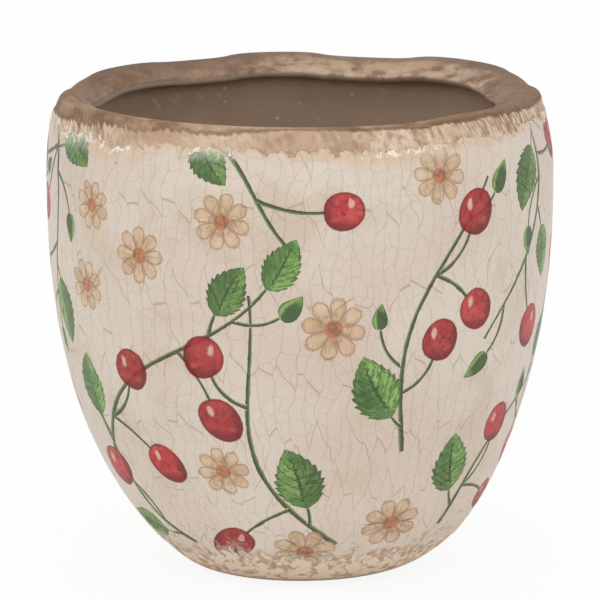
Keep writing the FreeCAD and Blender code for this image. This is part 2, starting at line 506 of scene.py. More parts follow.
class Cover:
    # How far inside the glaze a point of the sheet lies, in millimetres; below zero it is bare clay

    def __init__(self, wall):
        edge = wornEdge
        self.columns = round(wall.width / edge["step"])
        self.rows = round((wall.height - 2 * edge["margin"]) / edge["step"])
        self.u = np.linspace(0, wall.width, self.columns + 1)
        self.v = np.linspace(edge["margin"], wall.height - edge["margin"], self.rows + 1)
        u, v = (axis.ravel() for axis in np.meshgrid(self.u, self.v, indexing="ij"))
        radius = bellyRadius / mm
        turn = u / radius
        level = np.interp(v, wall.heights, wall.levels) / mm
        twist = turn + level * edge["streakTwist"]
        ring = np.column_stack([radius * np.cos(turn), radius * np.sin(turn), level])
        flat = ring * (1, 1, 0)
        streaks = np.column_stack([radius * np.cos(twist), radius * np.sin(twist),
                                   level * edge["streakStretch"]])

        def rippled(points, reach, size, seed):
            return reach * ripple(points, size, seed)

        side = -np.sin(turn)  # -1 on the left and 1 on the right, as U starts at the back
        top = wall.atLevel(crestLevel - edge["rimGap"]) - v + edge["rimRise"] * np.clip(side, 0, 1)
        top += sum(rippled(flat, *sway) for sway in edge["rimSway"])
        top += (0.2 + 1.1 * np.abs(side) ** 3) * rippled(streaks, *edge["rimStreak"])
        top += rippled(ring, *edge["rimFlake"])
        low = v - wall.atLevel(footLevel + edge["footGap"]) + rippled(flat, *edge["footSway"])
        for place, depth in edge["footWorn"]:
            low -= depth * (0.5 - 0.5 * np.cos(turn - math.radians(place))) ** 3
        low += sum(rippled(ring, *chips) for chips in edge["footChips"])
        self.values = np.minimum(top, low).reshape(self.columns + 1, self.rows + 1)
        self.values[-1] = self.values[0]
        for row in (0, -1):  # nothing reaches the sheet's own borders
            self.values[:, row] = np.minimum(self.values[:, row], edge["borderDepth"])

    def at(self, u, v):  # flat between the three corners of the half cell that holds the point
        x = np.clip((u - self.u[0]) / (self.u[1] - self.u[0]), 0, self.columns - 1e-9)
        y = np.clip((v - self.v[0]) / (self.v[1] - self.v[0]), 0, self.rows - 1e-9)
        i = x.astype(int)
        j = y.astype(int)
        x = x - i
        y = y - j
        corner, right = self.values[i, j], self.values[i + 1, j]
        up, far = self.values[i, j + 1], self.values[i + 1, j + 1]
        lower = corner + (right - corner) * x + (far - right) * y
        upper = corner + (far - up) * x + (up - corner) * y
        return np.where(x > y, lower, upper)

    def outline(self):  # points and edges where the cover ends
        values = self.values
        wet = values > 0
        keys = {}
        points = []
        edges = []

        def crossing(a, b):
            key = (a, b) if a < b else (b, a)
            if key not in keys:
                first, second = values[key[0]], values[key[1]]
                share = min(max(first / (first - second), 0.02), 0.98)
                start, end = ((self.u[i], self.v[j]) for i, j in key)
                keys[key] = len(points)
                points.append([low + (high - low) * share for low, high in zip(start, end)])
            return keys[key]

        mixed = wet[:-1, :-1].astype(int) + wet[1:, :-1] + wet[:-1, 1:] + wet[1:, 1:]
        for i, j in zip(*np.nonzero((mixed > 0) & (mixed < 4))):
            a, b, c, d = (i, j), (i + 1, j), (i + 1, j + 1), (i, j + 1)
            for corners in ((a, b, c), (a, c, d)):
                sides = zip(corners, corners[1:] + corners[:1])
                ends = [crossing(p, q) for p, q in sides if wet[p] != wet[q]]
                if len(ends) == 2:
                    edges.append(ends)
        return points, edges


# Printed decoration: cherry sprigs and daisies, as patches on the sheet that carry their own coordinates

stemKind, leafKind, budKind, cherryKind, daisyKind = range(5)

printSizes = {
    "seed": 14,
    "leafLength": 26.0,
    "leafWidth": 15.5,
    "budLength": 12.5,
    "budWidth": 7.4,
    "cherry": 8.4,
    "daisy": 12.4,
    "stemWidth": 1.9,
    "stemMargin": 1.6,
    "margin": 1.16,
    "seamGap": 5.0,
    "sprigs": (  # U from the front, height up the wall, length, heading in degrees and which way it turns
        (-106, 58, 124, 50, 1), (18, 30, 116, 112, -1), (46, 74, 112, 76, 1), (-52, 208, 74, -38, -1),
        (116, 207, 96, -108, -1), (84, 34, 96, 52, 1), (-134, 206, 92, -82, 1), (-70, 26, 70, 128, 1),
        (156, 40, 118, 96, 1), (204, 206, 96, -104, -1), (222, 28, 112, 74, -1), (274, 204, 92, -98, 1),
        (-276, 36, 118, 78, 1), (-244, 205, 94, -74, -1), (-206, 26, 116, 98, 1), (-170, 150, 70, 40, -1),
    ),
    "daisies": (  # U from the front and height up the wall
        (-92, 168), (-66, 152), (-98, 136), (13, 127), (17, 98), (48, 40), (70, 64), (-54, 46),
        (-36, 66), (-16, 66), (0, 26), (56, 184), (98, 158), (-30, 168), (-128, 96), (-146, 80), (-118, 34),
        (130, 190), (-40, 92), (-130, 66), (-150, 44), (176, 176), (188, 100), (250, 168), (262, 60),
        (232, 150), (-270, 180), (-254, 74), (-170, 196), (-186, 178), (-226, 150), (120, 26), (-58, 24),
    ),
}

twigSizes = {  # lengths in millimetres, angles in radians, twigs along a sprig as shares of its length
    "bow": 0.1,
    "wave": 4.4,
    "firstTwig": 0.1,
    "lastTwig": 0.96,
    "stray": 0.15,
    "order": ("leaf", "cherries", "bud", "leaf", "tendril", "cherries", "leaf", "bud"),
    "tip": (0.9, 0.85, 0.3),
    "cherries": ((1.3, 18, 22), (0.65, 22, 27)),
    "cherryGrowth": (0.9, 1.1),
    "cherryDroop": 0.9,
    "cherryLift": 0.5,
    "tendrilLength": (20, 27),
    "tendrilSpread": 0.7,
    "tendrilCurl": (2.6, 4.2),
    "stalks": {"bud": (13, 22), "leaf": (5, 10)},
    "stalkBend": {"bud": 0.9, "leaf": 0.3},
    "stalkSpread": (0.75, 1.1),
    "growth": (0.85, 1.15),
    "bend": (0.1, 0.5),
}


def bentLine(base, heading, length, bend, count):
    line = [base]
    step = length / (count - 1)
    for index in range(count - 1):
        turn = heading + bend * (index + 0.5) / (count - 1)
        line.append((line[-1][0] + step * math.cos(turn), line[-1][1] + step * math.sin(turn)))
    return line


def headingAt(line, index):
    (x, y), (nextX, nextY) = line[index], line[index + 1]
    return math.atan2(nextY - y, nextX - x)


def leafSpots(base, heading, length, width, bend):  # the room that a leaf takes
    line = bentLine(base, heading, length, bend, 11)
    return [(*line[at], width * room) for at, room in ((2, 0.4), (4, 0.56), (6, 0.54), (8, 0.42), (10, 0.16))]


class Decoration:
    def __init__(self, wall):
        self.wall = wall
        self.points = []
        self.marks = []
        self.triangles = []
        self.layers = []
        self.rng = np.random.default_rng(printSizes["seed"])
        self.taken = []

    def start(self, u, climb, mirror=1):
        self.anchor = (self.wall.width / 2 + u, climb)
        self.mirror = mirror

    def sheetPoint(self, x, y):
        v = float(self.wall.climbed(self.anchor[1] + y))
        return self.anchor[0] + x * float(self.wall.shrink(v)) * self.mirror, v

    def claim(self, spots):  # takes room, given as (x, y, radius), clear of other motifs and the seam
        wanted = []
        for x, y, radius in spots:
            u, v = self.sheetPoint(x, y)
            size = radius * float(self.wall.shrink(v))
            if min(u, self.wall.width - u) < size + printSizes["seamGap"]:
                return False
            if any(math.dist((u, v), held[:2]) < size + held[2] for held in self.taken):
                return False
            wanted.append((u, v, size))
        self.taken += wanted
        return True

    def patch(self, points, marks, triangles, kind):
        first = len(self.points)
        tint = kind + 0.1 + 0.8 * self.rng.random()
        self.points += [self.sheetPoint(x, y) for x, y in points]
        self.marks += [(a, b, tint) for a, b in marks]
        self.triangles += [[first + corner for corner in corners] for corners in triangles]
        self.layers += [kind] * len(triangles)

    def strip(self, line, halfWidths, along, side, kind):
        points = []
        marks = []
        for index, (x, y) in enumerate(line):
            before = line[max(index - 1, 0)]
            after = line[min(index + 1, len(line) - 1)]
            turn = math.atan2(after[1] - before[1], after[0] - before[0])
            for sign in (-1, 1):
                reach = sign * halfWidths[index]
                points.append((x - reach * math.sin(turn), y + reach * math.cos(turn)))
                marks.append((along[index], sign * side))
        triangles = []
        for index in range(0, 2 * len(line) - 2, 2):
            triangles += [(index, index + 1, index + 2), (index + 1, index + 3, index + 2)]
        self.patch(points, marks, triangles, kind)

    def fan(self, centre, reachAt, kind, count=20):
        side = printSizes["margin"]
        points = [centre]
        marks = [(0, 0)]
        for turn in np.linspace(0, fullTurn, count, endpoint=False):
            reach = reachAt(turn) * side
            points.append((centre[0] + reach * math.cos(turn), centre[1] + reach * math.sin(turn)))
            marks.append((side * math.cos(turn), side * math.sin(turn)))
        self.patch(points, marks, [(0, index + 1, (index + 1) % count + 1) for index in range(count)], kind)

    def stem(self, line, thick=1.0, thin=0.6):
        side = printSizes["stemMargin"]
        lengths = np.concatenate([[0], np.cumsum([math.dist(a, b) for a, b in zip(line, line[1:])])])
        widths = printSizes["stemWidth"] * thick / 2 * side * (1 - (1 - thin) * lengths / lengths[-1])
        self.strip(line, widths, lengths, side, stemKind)

    def leaf(self, base, heading, length, width, bend, kind):
        shares = np.linspace(0, 1, 11)
        full = 0.82 if kind == leafKind else 0.66
        widths = width / 2 * printSizes["margin"] * np.sin(math.pi * shares ** full) ** 0.85 + 0.12
        self.strip(bentLine(base, heading, length, bend, 11), widths, shares, printSizes["margin"], kind)

    def cherry(self, centre, heading, size):
        def reachAt(turn):
            off = math.cos(turn - heading)
            return size * (1 - 0.1 * max(off, 0) ** 6 + 0.05 * math.cos(2 * (turn - heading)))

        self.fan(centre, reachAt, cherryKind)

    def daisy(self, size):
        self.fan((0, 0), lambda turn: size, daisyKind, 16)

    def cherries(self, base, heading, side):
        sizes = twigSizes
        twigs = [(spread, self.rng.uniform(*reach)) for spread, *reach in sizes["cherries"]]
        for spread, reach in twigs:
            away = heading + side * spread
            bend = -side * sizes["cherryDroop"] if math.sin(away) > 0 else side * sizes["cherryLift"]
            line = bentLine(base, away, reach, bend, 12)
            turn = headingAt(line, -2)
            size = printSizes["cherry"] * self.rng.uniform(*sizes["cherryGrowth"])
            centre = (line[-1][0] + size * 0.88 * math.cos(turn), line[-1][1] + size * 0.88 * math.sin(turn))
            if self.claim([(*centre, size * printSizes["margin"])]):
                self.stem(line, 0.85, 0.8)
                self.cherry(centre, turn + math.pi, size)

    def tendril(self, base, heading, side):
        reach = self.rng.uniform(*twigSizes["tendrilLength"])
        curl = side * self.rng.uniform(*twigSizes["tendrilCurl"])
        line = bentLine(base, heading + side * twigSizes["tendrilSpread"], reach, curl, 26)
        if self.claim([(*line[6], 2.0), (*line[12], 3.0), (*line[18], 3.0), (*line[-1], 2.0)]):
            self.stem(line, 0.6, 0.5)

    def grow(self, what, line, longer, wider, bend, stalk=False):  # a leaf or bud at a line's end
        blade = (line[-1], headingAt(line, -2), printSizes[what + "Length"] * longer,
                 printSizes[what + "Width"] * wider, bend)
        if not self.claim(leafSpots(*blade)):
            return False
        if stalk:
            self.stem(line, 0.9)
        self.leaf(*blade, leafKind if what == "leaf" else budKind)
        return True

    def stalked(self, base, heading, side, what):
        rng = self.rng
        sizes = twigSizes
        stalk = rng.uniform(*sizes["stalks"][what])
        away = heading + side * rng.uniform(*sizes["stalkSpread"])
        line = bentLine(base, away, stalk, -side * sizes["stalkBend"][what], 9)
        grown = rng.uniform(*sizes["growth"])
        self.grow(what, line, grown, grown, -side * rng.uniform(*sizes["bend"]), True)

    def sprig(self, u, climb, length, lean, mirror):
        sizes = twigSizes
        self.start(u, climb, mirror)
        share = np.linspace(0, 1, 34)
        along = share * length
        across = length * sizes["bow"] * np.sin(share * sizes["wave"] + self.rng.uniform(-0.5, 0.5))
        across -= across[0]
        turn = math.radians(lean)
        x = along * math.cos(turn) - across * math.sin(turn)
        y = along * math.sin(turn) + across * math.cos(turn)
        line = list(zip((x * mirror).tolist(), y.tolist()))
        self.stem(line, 1.15, 0.55)
        first, last, stray = sizes["firstTwig"], sizes["lastTwig"], sizes["stray"]
        side = 1
        for index, what in enumerate(sizes["order"]):
            part = (index + self.rng.uniform(-stray, stray)) / len(sizes["order"])
            at = round((first + (last - first) * part) * (len(line) - 1))
            place = (line[at], headingAt(line, at), side)
            if what == "cherries":
                self.cherries(*place)
            elif what == "tendril":
                self.tendril(*place)
            else:
                self.stalked(*place, what)
            side = -side
        if not self.grow("leaf", line, *sizes["tip"]):  # the tip ends in a bud where a leaf finds no room
            self.grow("bud", line, *sizes["tip"])


def decorate(wall):
    decoration = Decoration(wall)
    for sprig in printSizes["sprigs"]:
        decoration.sprig(*sprig)
    for u, climb in printSizes["daisies"]:
        decoration.start(u, climb)
        size = printSizes["daisy"] * decoration.rng.uniform(0.85, 1.1)
        if decoration.claim([(0, 0, size * 0.9)]):
            decoration.daisy(size)
    print("print:", len(decoration.taken), "motif spots,", len(decoration.triangles), "patch triangles")
    return decoration


# The glaze piece: its face, its back on the clay and the thin walls between them

glazeSheet = {
    "spacing": 1.9,
    "backSpacing": 9.0,
    "thin": 0.1 * mm,
    "full": 0.55 * mm,
    "feather": 4.5,
    "uneven": 0.035 * mm,
    "unevenSize": 14,
    "unevenSeed": 21,
    "normalStep": 0.35,
    "nearest": 0.004,
    "least": 1e-9,
    "seamWidth": 1e-6,
}


def lattice(wall, spacing, seamed):
    points = []
    v = 0.0
    shift = 0.0
    while v < wall.height:
        step = spacing * float(wall.shrink(v))
        count = max(8, round(wall.width / step))
        row = [(index + shift) * wall.width / count for index in range(count)]
        points += [(u, v) for u in row if 0 < u < wall.width]
        if seamed:
            points += [(0.0, v), (wall.width, v)]
        v += step * 0.866
        shift = 0.5 - shift
    return points + [(u, v) for u in (0.0, wall.width) for v in (0.0, wall.height)]


def wetTriangles(cover, points, edges):  # triangles inside the cover, and where each given point went
    given = [Vector(point) for point in points]
    verts, _, triangles, origins, _, _ = delaunay_2d_cdt(given, edges, [], 0, glazeSheet["nearest"])
    flat = np.array([tuple(vert) for vert in verts])
    corners = np.array(triangles)
    first, second, third = (flat[corners[:, index]] for index in range(3))
    area = (second[:, 0] - first[:, 0]) * (third[:, 1] - first[:, 1])
    area -= (second[:, 1] - first[:, 1]) * (third[:, 0] - first[:, 0])
    corners[area < 0] = corners[area < 0][:, ::-1]
    u, v = flat[corners].mean(axis=1).T
    inside = (v > cover.v[0]) & (v < cover.v[-1]) & (np.abs(area) > glazeSheet["least"])
    return flat, corners[inside & (cover.at(u, v) > 0)], origins


def borderEdges(triangles):
    edges = {}
    for a, b, c in triangles:
        for edge in ((a, b), (b, c), (c, a)):
            if edge[::-1] in edges:
                del edges[edge[::-1]]
            else:
                edges[edge] = True
    return list(edges)


def seamWeld(flat, width):  # each point's number, that of its partner at U 0 for one at the sheet's far end
    near = glazeSheet["seamWidth"]
    partner = {round(v, 3): index for index, (u, v) in enumerate(flat) if u < near}
    return np.array([partner.get(round(v, 3), index) if u > width - near else index
                     for index, (u, v) in enumerate(flat)])


def barycentric(point, corners):
    a, b, c = corners[:, 0], corners[:, 1], corners[:, 2]
    first, second, third = b - a, c - a, point - a
    whole = first[:, 0] * second[:, 1] - first[:, 1] * second[:, 0]
    whole[whole == 0] = np.nan  # a triangle without area holds no point
    y = (third[:, 0] * second[:, 1] - third[:, 1] * second[:, 0]) / whole
    z = (first[:, 0] * third[:, 1] - first[:, 1] * third[:, 0]) / whole
    return np.column_stack([1 - y - z, y, z])


def topPatches(middle, decoration, stems):  # the printed triangle that shows at each point, or -1
    order = np.argsort(middle[:, 0])
    ranked = middle[order]
    chosen = np.full(len(middle), -1)
    edges = np.full(len(middle), 9.0)  # how near its motif's outline the point is: 0 in the middle, 1 on it
    for index, triangle in enumerate(decoration.triangles):
        kind = decoration.layers[index]
        if (kind == stemKind) == stems:
            corners = np.array([decoration.points[corner] for corner in triangle])
            marks = np.array([decoration.marks[corner] for corner in triangle])
            first, last = np.searchsorted(ranked[:, 0], (corners[:, 0].min(), corners[:, 0].max()))
            shares = barycentric(ranked[first:last], corners[None])
            inside = (shares >= 0).all(axis=1)
            a, b = (shares[inside] @ marks[:, :2]).T
            edge = np.hypot(a, b) if kind >= cherryKind else np.abs(b)
            rows = order[first:last][inside]
            better = edge < edges[rows] if stems else (edge < edges[rows]) | (edge < 1)
            chosen[rows[better]] = index
            edges[rows[better]] = edge[better]
    return chosen


def cornerMarks(flat, corners, decoration, stems):  # the print's own coordinates at each triangle's corners
    chosen = topPatches(flat[corners].mean(axis=1), decoration, stems)
    marks = np.zeros((len(corners), 3, 3))
    rows = np.nonzero(chosen >= 0)[0]
    owner = np.array(decoration.triangles)[chosen[rows]]
    places = np.array(decoration.points)[owner]
    values = np.array(decoration.marks)[owner]
    for corner in range(3):
        shares = barycentric(flat[corners[rows, corner]], places)
        marks[rows, corner] = np.einsum("ij,ijk->ik", shares, values)
    return marks


def glazeFront(wall, cover, decoration):  # flat points, triangles and what each corner carries for the finish
    points, cuts = cover.outline()
    points += lattice(wall, glazeSheet["spacing"], True)
    first = len(points)
    for a, b, c in decoration.triangles:
        cuts += [(first + a, first + b), (first + b, first + c), (first + c, first + a)]
    flat, corners, _ = wetTriangles(cover, points + decoration.points, cuts)
    marks = {name: cornerMarks(flat, corners, decoration, name == "stem") for name in ("motif", "stem")}
    marks["sheet"] = np.pad(flat[corners], ((0, 0), (0, 0), (0, 1)))
    used, corners = np.unique(corners, return_inverse=True)
    return flat[used], corners.reshape(-1, 3), marks


def glazeBack(wall, cover, flat, border):  # coarser, with the same border and the points behind it
    rim = sorted({index for edge in border for index in edge})
    rank = {index: place for place, index in enumerate(rim)}
    points = [tuple(flat[index]) for index in rim] + lattice(wall, glazeSheet["backSpacing"], False)
    backFlat, corners, origins = wetTriangles(cover, points, [(rank[a], rank[b]) for a, b in border])
    behind = {}
    for index, sources in enumerate(origins):
        behind.update({rim[source]: index for source in sources if source < len(rim)})
    return backFlat, corners[:, ::-1], behind


def glazePiece(wall, cover, decoration, material):
    sheet = glazeSheet
    flat, corners, marks = glazeFront(wall, cover, decoration)
    border = borderEdges(corners.tolist())
    backFlat, backCorners, behind = glazeBack(wall, cover, flat, border)

    def face(u, v):  # thin at the glaze's edge, then full and a little uneven
        depth = np.clip(cover.at(u, v) / sheet["feather"] / wall.shrink(v), 0, 1)
        depth = depth * (2 - depth)
        turn = u / (bellyRadius / mm)
        spots = np.column_stack([np.cos(turn) * 100, np.sin(turn) * 100, v])
        uneven = sheet["uneven"] * (1 + ripple(spots, sheet["unevenSize"], sheet["unevenSeed"]))
        return wall.place(u, v, sheet["thin"] + (sheet["full"] - sheet["thin"] - uneven) * depth)[0]

    u, v = flat.T
    back, backNormals = wall.place(*backFlat.T)
    frontWeld = seamWeld(flat, wall.width)
    backWeld = seamWeld(backFlat, wall.width) + len(flat)
    faces = frontWeld[corners].tolist() + backWeld[backCorners].tolist()
    welded = {(frontWeld[a], frontWeld[b]) for a, b in border}
    for a, b in border:
        outer = (frontWeld[b], frontWeld[a])
        if outer not in welded:  # a wall wherever the border doesn't meet itself across the seam
            inner = [backWeld[behind[index]] for index in (a, b)]
            faces += [[*outer, inner[0]], [outer[0], *inner]]
    used, packed = np.unique(np.array(faces), return_inverse=True)
    coords = np.concatenate([face(u, v), back])[used]
    normals = np.concatenate([squareTo(face, u, v, sheet["normalStep"]), -backNormals])[used]
    depths = np.concatenate([cover.at(u, v) / wall.shrink(v), np.zeros(len(back))])[used]

    mesh = bpy.data.meshes.new("outerGlaze")
    mesh.from_pydata(coords.tolist(), [], packed.reshape(-1, 3).tolist())
    for name, values in marks.items():
        loops = np.zeros((len(mesh.loops), 3), np.float32)
        loops[:3 * len(corners)] = values.reshape(-1, 3)
        mesh.attributes.new(name, "FLOAT_VECTOR", "CORNER").data.foreach_set("vector", loops.ravel())
    pointValues(mesh, "cover", depths)
    mesh.materials.append(material)
    mesh.shade_smooth()
    mesh.normals_split_custom_set_from_vertices(normals.tolist())
    print("glaze:", len(mesh.polygons), "faces")
    return addObject("outerGlaze", mesh)


# Finishes: Principled shaders whose colours are built up in layers

class Paint:
    # A colour in layers, each laid over the last where its mask is 1

    def __init__(self, made, look, first):
        self.made = made
        self.look = look
        self.color = look[first] if isinstance(first, str) else first

    def over(self, mask, layer, mode="MIX"):
        color = self.look[layer] if isinstance(layer, str) else layer
        self.color = self.made.blend(mask, self.color, color, mode)


class Finish(NodeBench):
    def __init__(self, name):
        self.material = bpy.data.materials.new(name)
        self.material.use_nodes = True
        super().__init__(self.material.node_tree)
        self.shader = self.tree.nodes["Principled BSDF"]
        self.place = self.node("ShaderNodeTexCoord", {}, (), "Object")

    def attribute(self, name, output="Fac"):
        return self.node("ShaderNodeAttribute", {"attribute_name": name}, (), output)

    def put(self, **values):
        for name, value in values.items():
            self.feed(self.shader.inputs[name.replace("_", " ")], value)

    def finished(self, color, roughness, specular, height, depth, strength=0.5):  # with its relief
        relief = self.node("ShaderNodeBump", {}, {"Strength": strength, "Distance": depth, "Height": height})
        self.put(Base_Color=color, Roughness=roughness, Specular_IOR_Level=specular, Normal=relief)
        return self.material

    def around(self):  # angle about the pot's axis, nothing at the front
        x, y, _ = self.place.parts()
        return x.math("ARCTAN2", -y)

    def strokes(self, path, lean, length):  # place on the wall in brush strokes that lean along the path
        turn = self.around() + path * lean
        return self.combine(turn.math("SINE") * 0.1, turn.math("COSINE") * 0.1, path * length)

    def cells(self, place, scale, feature, randomness=1.0, dimensions="3D", output=0):
        settings = {"feature": feature, "voronoi_dimensions": dimensions}
        inputs = {"Vector": place, "Scale": scale, "Randomness": randomness}
        return self.node("ShaderNodeTexVoronoi", settings, inputs, output)

    def textures(self, noises):  # one attribute of that name for each noise of a look
        for name, values in noises.items():
            setattr(self, name, self.noise(self.place, *values))

    def brushwork(self, strokes, climb):  # the same for strokes: lean and length first, then the noise
        for name, (lean, length, *values) in strokes.items():
            setattr(self, name, self.noise(self.strokes(climb, lean, length), *values))


coatLook = {
    "coat": srgb(182, 158, 136),
    "coatDeep": srgb(164, 141, 121),
    "speck": srgb(222, 202, 178),
    "scuff": srgb(202, 181, 158),
    "soft": (20.0, 3.0, 0.5),
    "fine": (260.0, 3.0, 0.6),
    "specks": 230.0,
    "scuffStroke": (9.0, 0.4),
    "scuffNoise": (190.0, 2.0),
    "throwing": (90.0, 2.0),
}


def coatColor(made, path):
    look = coatLook
    soft = made.noise(made.place, *look["soft"])
    fine = made.noise(made.place, *look["fine"])
    paint = Paint(made, look, "coat")
    paint.over(soft.above(0.5, 0.2), "coatDeep")
    paint.over(fine.above(0.62, 0.05) * 0.3, "coatDeep")
    spots = made.cells(made.place, look["specks"], "F1")
    drawn = made.cells(made.place, look["specks"], "F1", output="Color").parts()
    size = drawn[1] * 0.14 + 0.07
    paint.over((spots - size).below(0.0, 0.05) * drawn[0].above(0.86, 0.01) * 0.7, "speck")
    scuffs = made.noise(made.strokes(path * mm, *look["scuffStroke"]), *look["scuffNoise"])
    paint.over(scuffs.above(0.7, 0.03) * 0.4, "scuff")
    return paint.color, fine


def coatFinish():
    made = Finish("innerCoat")
    path = made.attribute("path")
    color, fine = coatColor(made, path)
    throwing = made.noise(made.strokes(path * mm, 0.0, 1.0), *coatLook["throwing"])
    return made.finished(color, 0.7 + fine * 0.15, 0.3, fine * 0.6 + throwing, 0.25 * mm)


footGrain = (260.0, 4.0, 0.6, 0.5)  # the noise that chips the glaze and mottles the clay under it

clayLook = {
    "body": srgb(188, 157, 128),
    "tan": srgb(206, 181, 156),
    "wash": srgb(146, 115, 89),
    "washDeep": srgb(108, 79, 58),
    "washGrey": srgb(150, 124, 104),
    # painted highlight: the lighter grey laid along the lip's rounded inner arris
    "arris": srgb(148, 133, 120),
    # painted shade: the dark colour laid along the lip's crest on the far side
    "crest": srgb(112, 98, 88),
    "cream": srgb(224, 206, 184),
    "footBare": srgb(194, 166, 139),
    "footPale": srgb(232, 215, 194),
    "washFront": 2.3,
    "washLeft": 7.2,
    "washRight": 2.4,
    "crestEnd": 2.9,
    "arrisStart": 14.2,
    "lipEnd": 17.4,
    "footTop": 30.0 * mm,
    "noises": {
        "soft": (34.0, 3.0, 0.55),
        "fine": (210.0, 3.0, 0.6),
        "grain": (900.0, 2.0, 0.6),
        "swirl": (70.0, 5.0, 0.62, 0.9),
        "patchy": (26.0, 4.0, 0.6),
    },
    "strokes": {
        "brushed": (5.0, 0.2, 560.0, 3.0, 0.55),
        "crossed": (6.0, 0.26, 640.0, 3.0, 0.55),
        "drawn": (0.0, 3.6, 62.0, 4.0, 0.62),
        "blotch": (0.0, 1.5, 95.0, 4.0, 0.6),
        "rough": (4.0, 0.7, 360.0, 4.0, 0.62, 0.3),
    },
}


class ClayFinish(Finish):
    def __init__(self):
        super().__init__("washedClay")
        self.path = self.attribute("path")
        self.turn = self.around()
        self.side = self.turn.math("SINE")
        self.textures(clayLook["noises"])
        self.brushwork(clayLook["strokes"], self.path * mm)
        self.ends = (abs(self.side) + self.side.math("MINIMUM", 0.0) * 0.13).above(0.66, 0.2)
        self.right = self.side.above(0.25, 0.3)

    def ware(self):  # bare clay below the wash, hatched at the sides
        paint = Paint(self, clayLook, "body")
        paint.over(self.soft.above(0.5, 0.12), "tan")
        paint.over(self.fine.above(0.6, 0.07) * 0.35, "wash")
        paint.over(self.swirl.above(0.56, 0.06) * 0.45, "wash")
        paint.over(self.swirl.below(0.4, 0.05) * 0.5, "cream")
        paint.over(self.rough.above(0.57, 0.03) * (0.2 + self.right * 0.45), "wash")
        paint.over(self.rough.below(0.41, 0.03) * (0.15 + self.right * 0.6), "cream")
        hatch = self.brushed.above(0.5, 0.04) * self.ends * self.path.above(-12.0, 3.0)
        paint.over(hatch * 0.85, "wash")
        paint.over(self.crossed.above(0.54, 0.04) * self.ends * 0.8, "cream")
        return paint.color

    def washEdge(self):  # above 0 inside the wash, which runs down the outside on the left
        look = clayLook
        left = (-self.side).math("MAXIMUM", 0.0) ** 1.2
        reach = left * look["washLeft"] + self.side.math("MAXIMUM", 0.0) * look["washRight"]
        edge = self.path + look["washFront"] + reach + (self.brushed - 0.5) * (reach * 1.3 + 0.6)
        return edge + (self.soft - 0.5) * 5.0 + (self.fine - 0.5) * 1.8

    def wash(self):  # brown wash over the lip, brushed out at its ends, with painted light and shade on the far lip and a painted highlight along the inner arris
        look = clayLook
        path = self.path
        back = self.turn.math("COSINE").below(-0.35, 0.2)
        # painted light: the far lip's right half, turned toward the lamp, is painted lighter
        lit = back * self.side.above(-0.2, 0.16)
        near = self.turn.math("COSINE").above(0.1, 0.3) * self.side.below(0.2, 0.4)
        # random tone together with painted light on the far lip's right half
        toneAndLight = self.blotch * 0.5 + self.soft * 0.5 + lit * 0.12 + near * 0.13 - self.ends * 0.1
        paint = Paint(self, look, "wash")
        paint.over(toneAndLight.above(0.58, 0.08), "body")
        paint.over(path.above(2.5, 2.0) * (0.5 - back * 0.35), "washGrey")
        paint.over(self.drawn.above(0.52, 0.1) * 0.5, "wash")
        paint.over(self.blotch.below(0.43, 0.08) * 0.4, "washDeep")
        # painted shade on the far lip's left half, away from the lamp; the lip's ends are also darker brown
        paint.over(back * self.side.below(-0.1, 0.2) * 0.4 + self.ends * 0.34, "washDeep")
        paint.over(self.fine.above(0.6, 0.06) * 0.28, "washDeep")
        pale = self.drawn * 0.5 + self.blotch * 0.5 + (path - 9.0) * 0.008
        # pale cream blotches, laid more strongly on the far lip's right half as painted light
        paint.over(pale.above(0.54, 0.09) * path.above(4.0, 3.0) * (0.1 + lit * 0.3), "cream")
        # painted highlight: a lighter grey band along the rounded inner arris
        paint.over(path.above(look["arrisStart"], 0.8) * 0.8, "arris")
        # painted shade: the crest darkened only on the far side of the pot
        crest = path.above(-0.5, 0.8) * path.below(look["crestEnd"], 0.8)
        paint.over(crest * back * 0.62, "crest")
        return paint.color

    def foot(self, height):  # brown clay between cream remains of the glaze
        front = abs(self.turn + 0.1).below(0.45, 0.4)
        flaky = self.noise(self.place, *footGrain) - front * 0.04
        paint = Paint(self, clayLook, "footPale")
        paint.over(flaky.above(0.52, 0.025), "footBare")
        paint.over(flaky.above(0.64, 0.04) * 0.6, "wash")
        paint.over((height + (self.fine - 0.5) * (3.0 * mm)).below(3.4 * mm, 0.8 * mm) * 0.8, "footBare")
        return paint.color


def clayFinish():
    made = ClayFinish()
    look = clayLook
    path = made.path
    edge = made.washEdge()
    outside = edge.above(0.0, 0.5)
    paint = Paint(made, look, made.ware())
    paint.over(outside, made.wash())
    line = edge.above(-0.7, 0.4) * edge.below(0.9, 0.8)
    paint.over(line * (made.soft.above(0.4, 0.1) * 0.6).math("MAXIMUM", made.right * 0.8), "washDeep")
    patch = made.patchy.above(0.58, 0.012) * path.below(-2.0, 0.7) * path.above(-10.0, 1.5)
    paint.over(patch * 0.7, "wash")
    lined, _ = coatColor(made, path)
    paint.over(path.above(look["lipEnd"], 0.35), lined)
    height = made.place.parts()[2]
    paint.over(height.below(look["footTop"], 10.0 * mm), made.foot(height))
    paint.over(made.grain.above(0.66, 0.04) * 0.2, "cream")
    relief = made.grain * 0.35 + made.fine * 0.65 + made.brushed * 0.5 * outside * made.ends
    return made.finished(paint.color, 0.62 + made.fine * 0.25, 0.35, relief, 0.3 * mm)


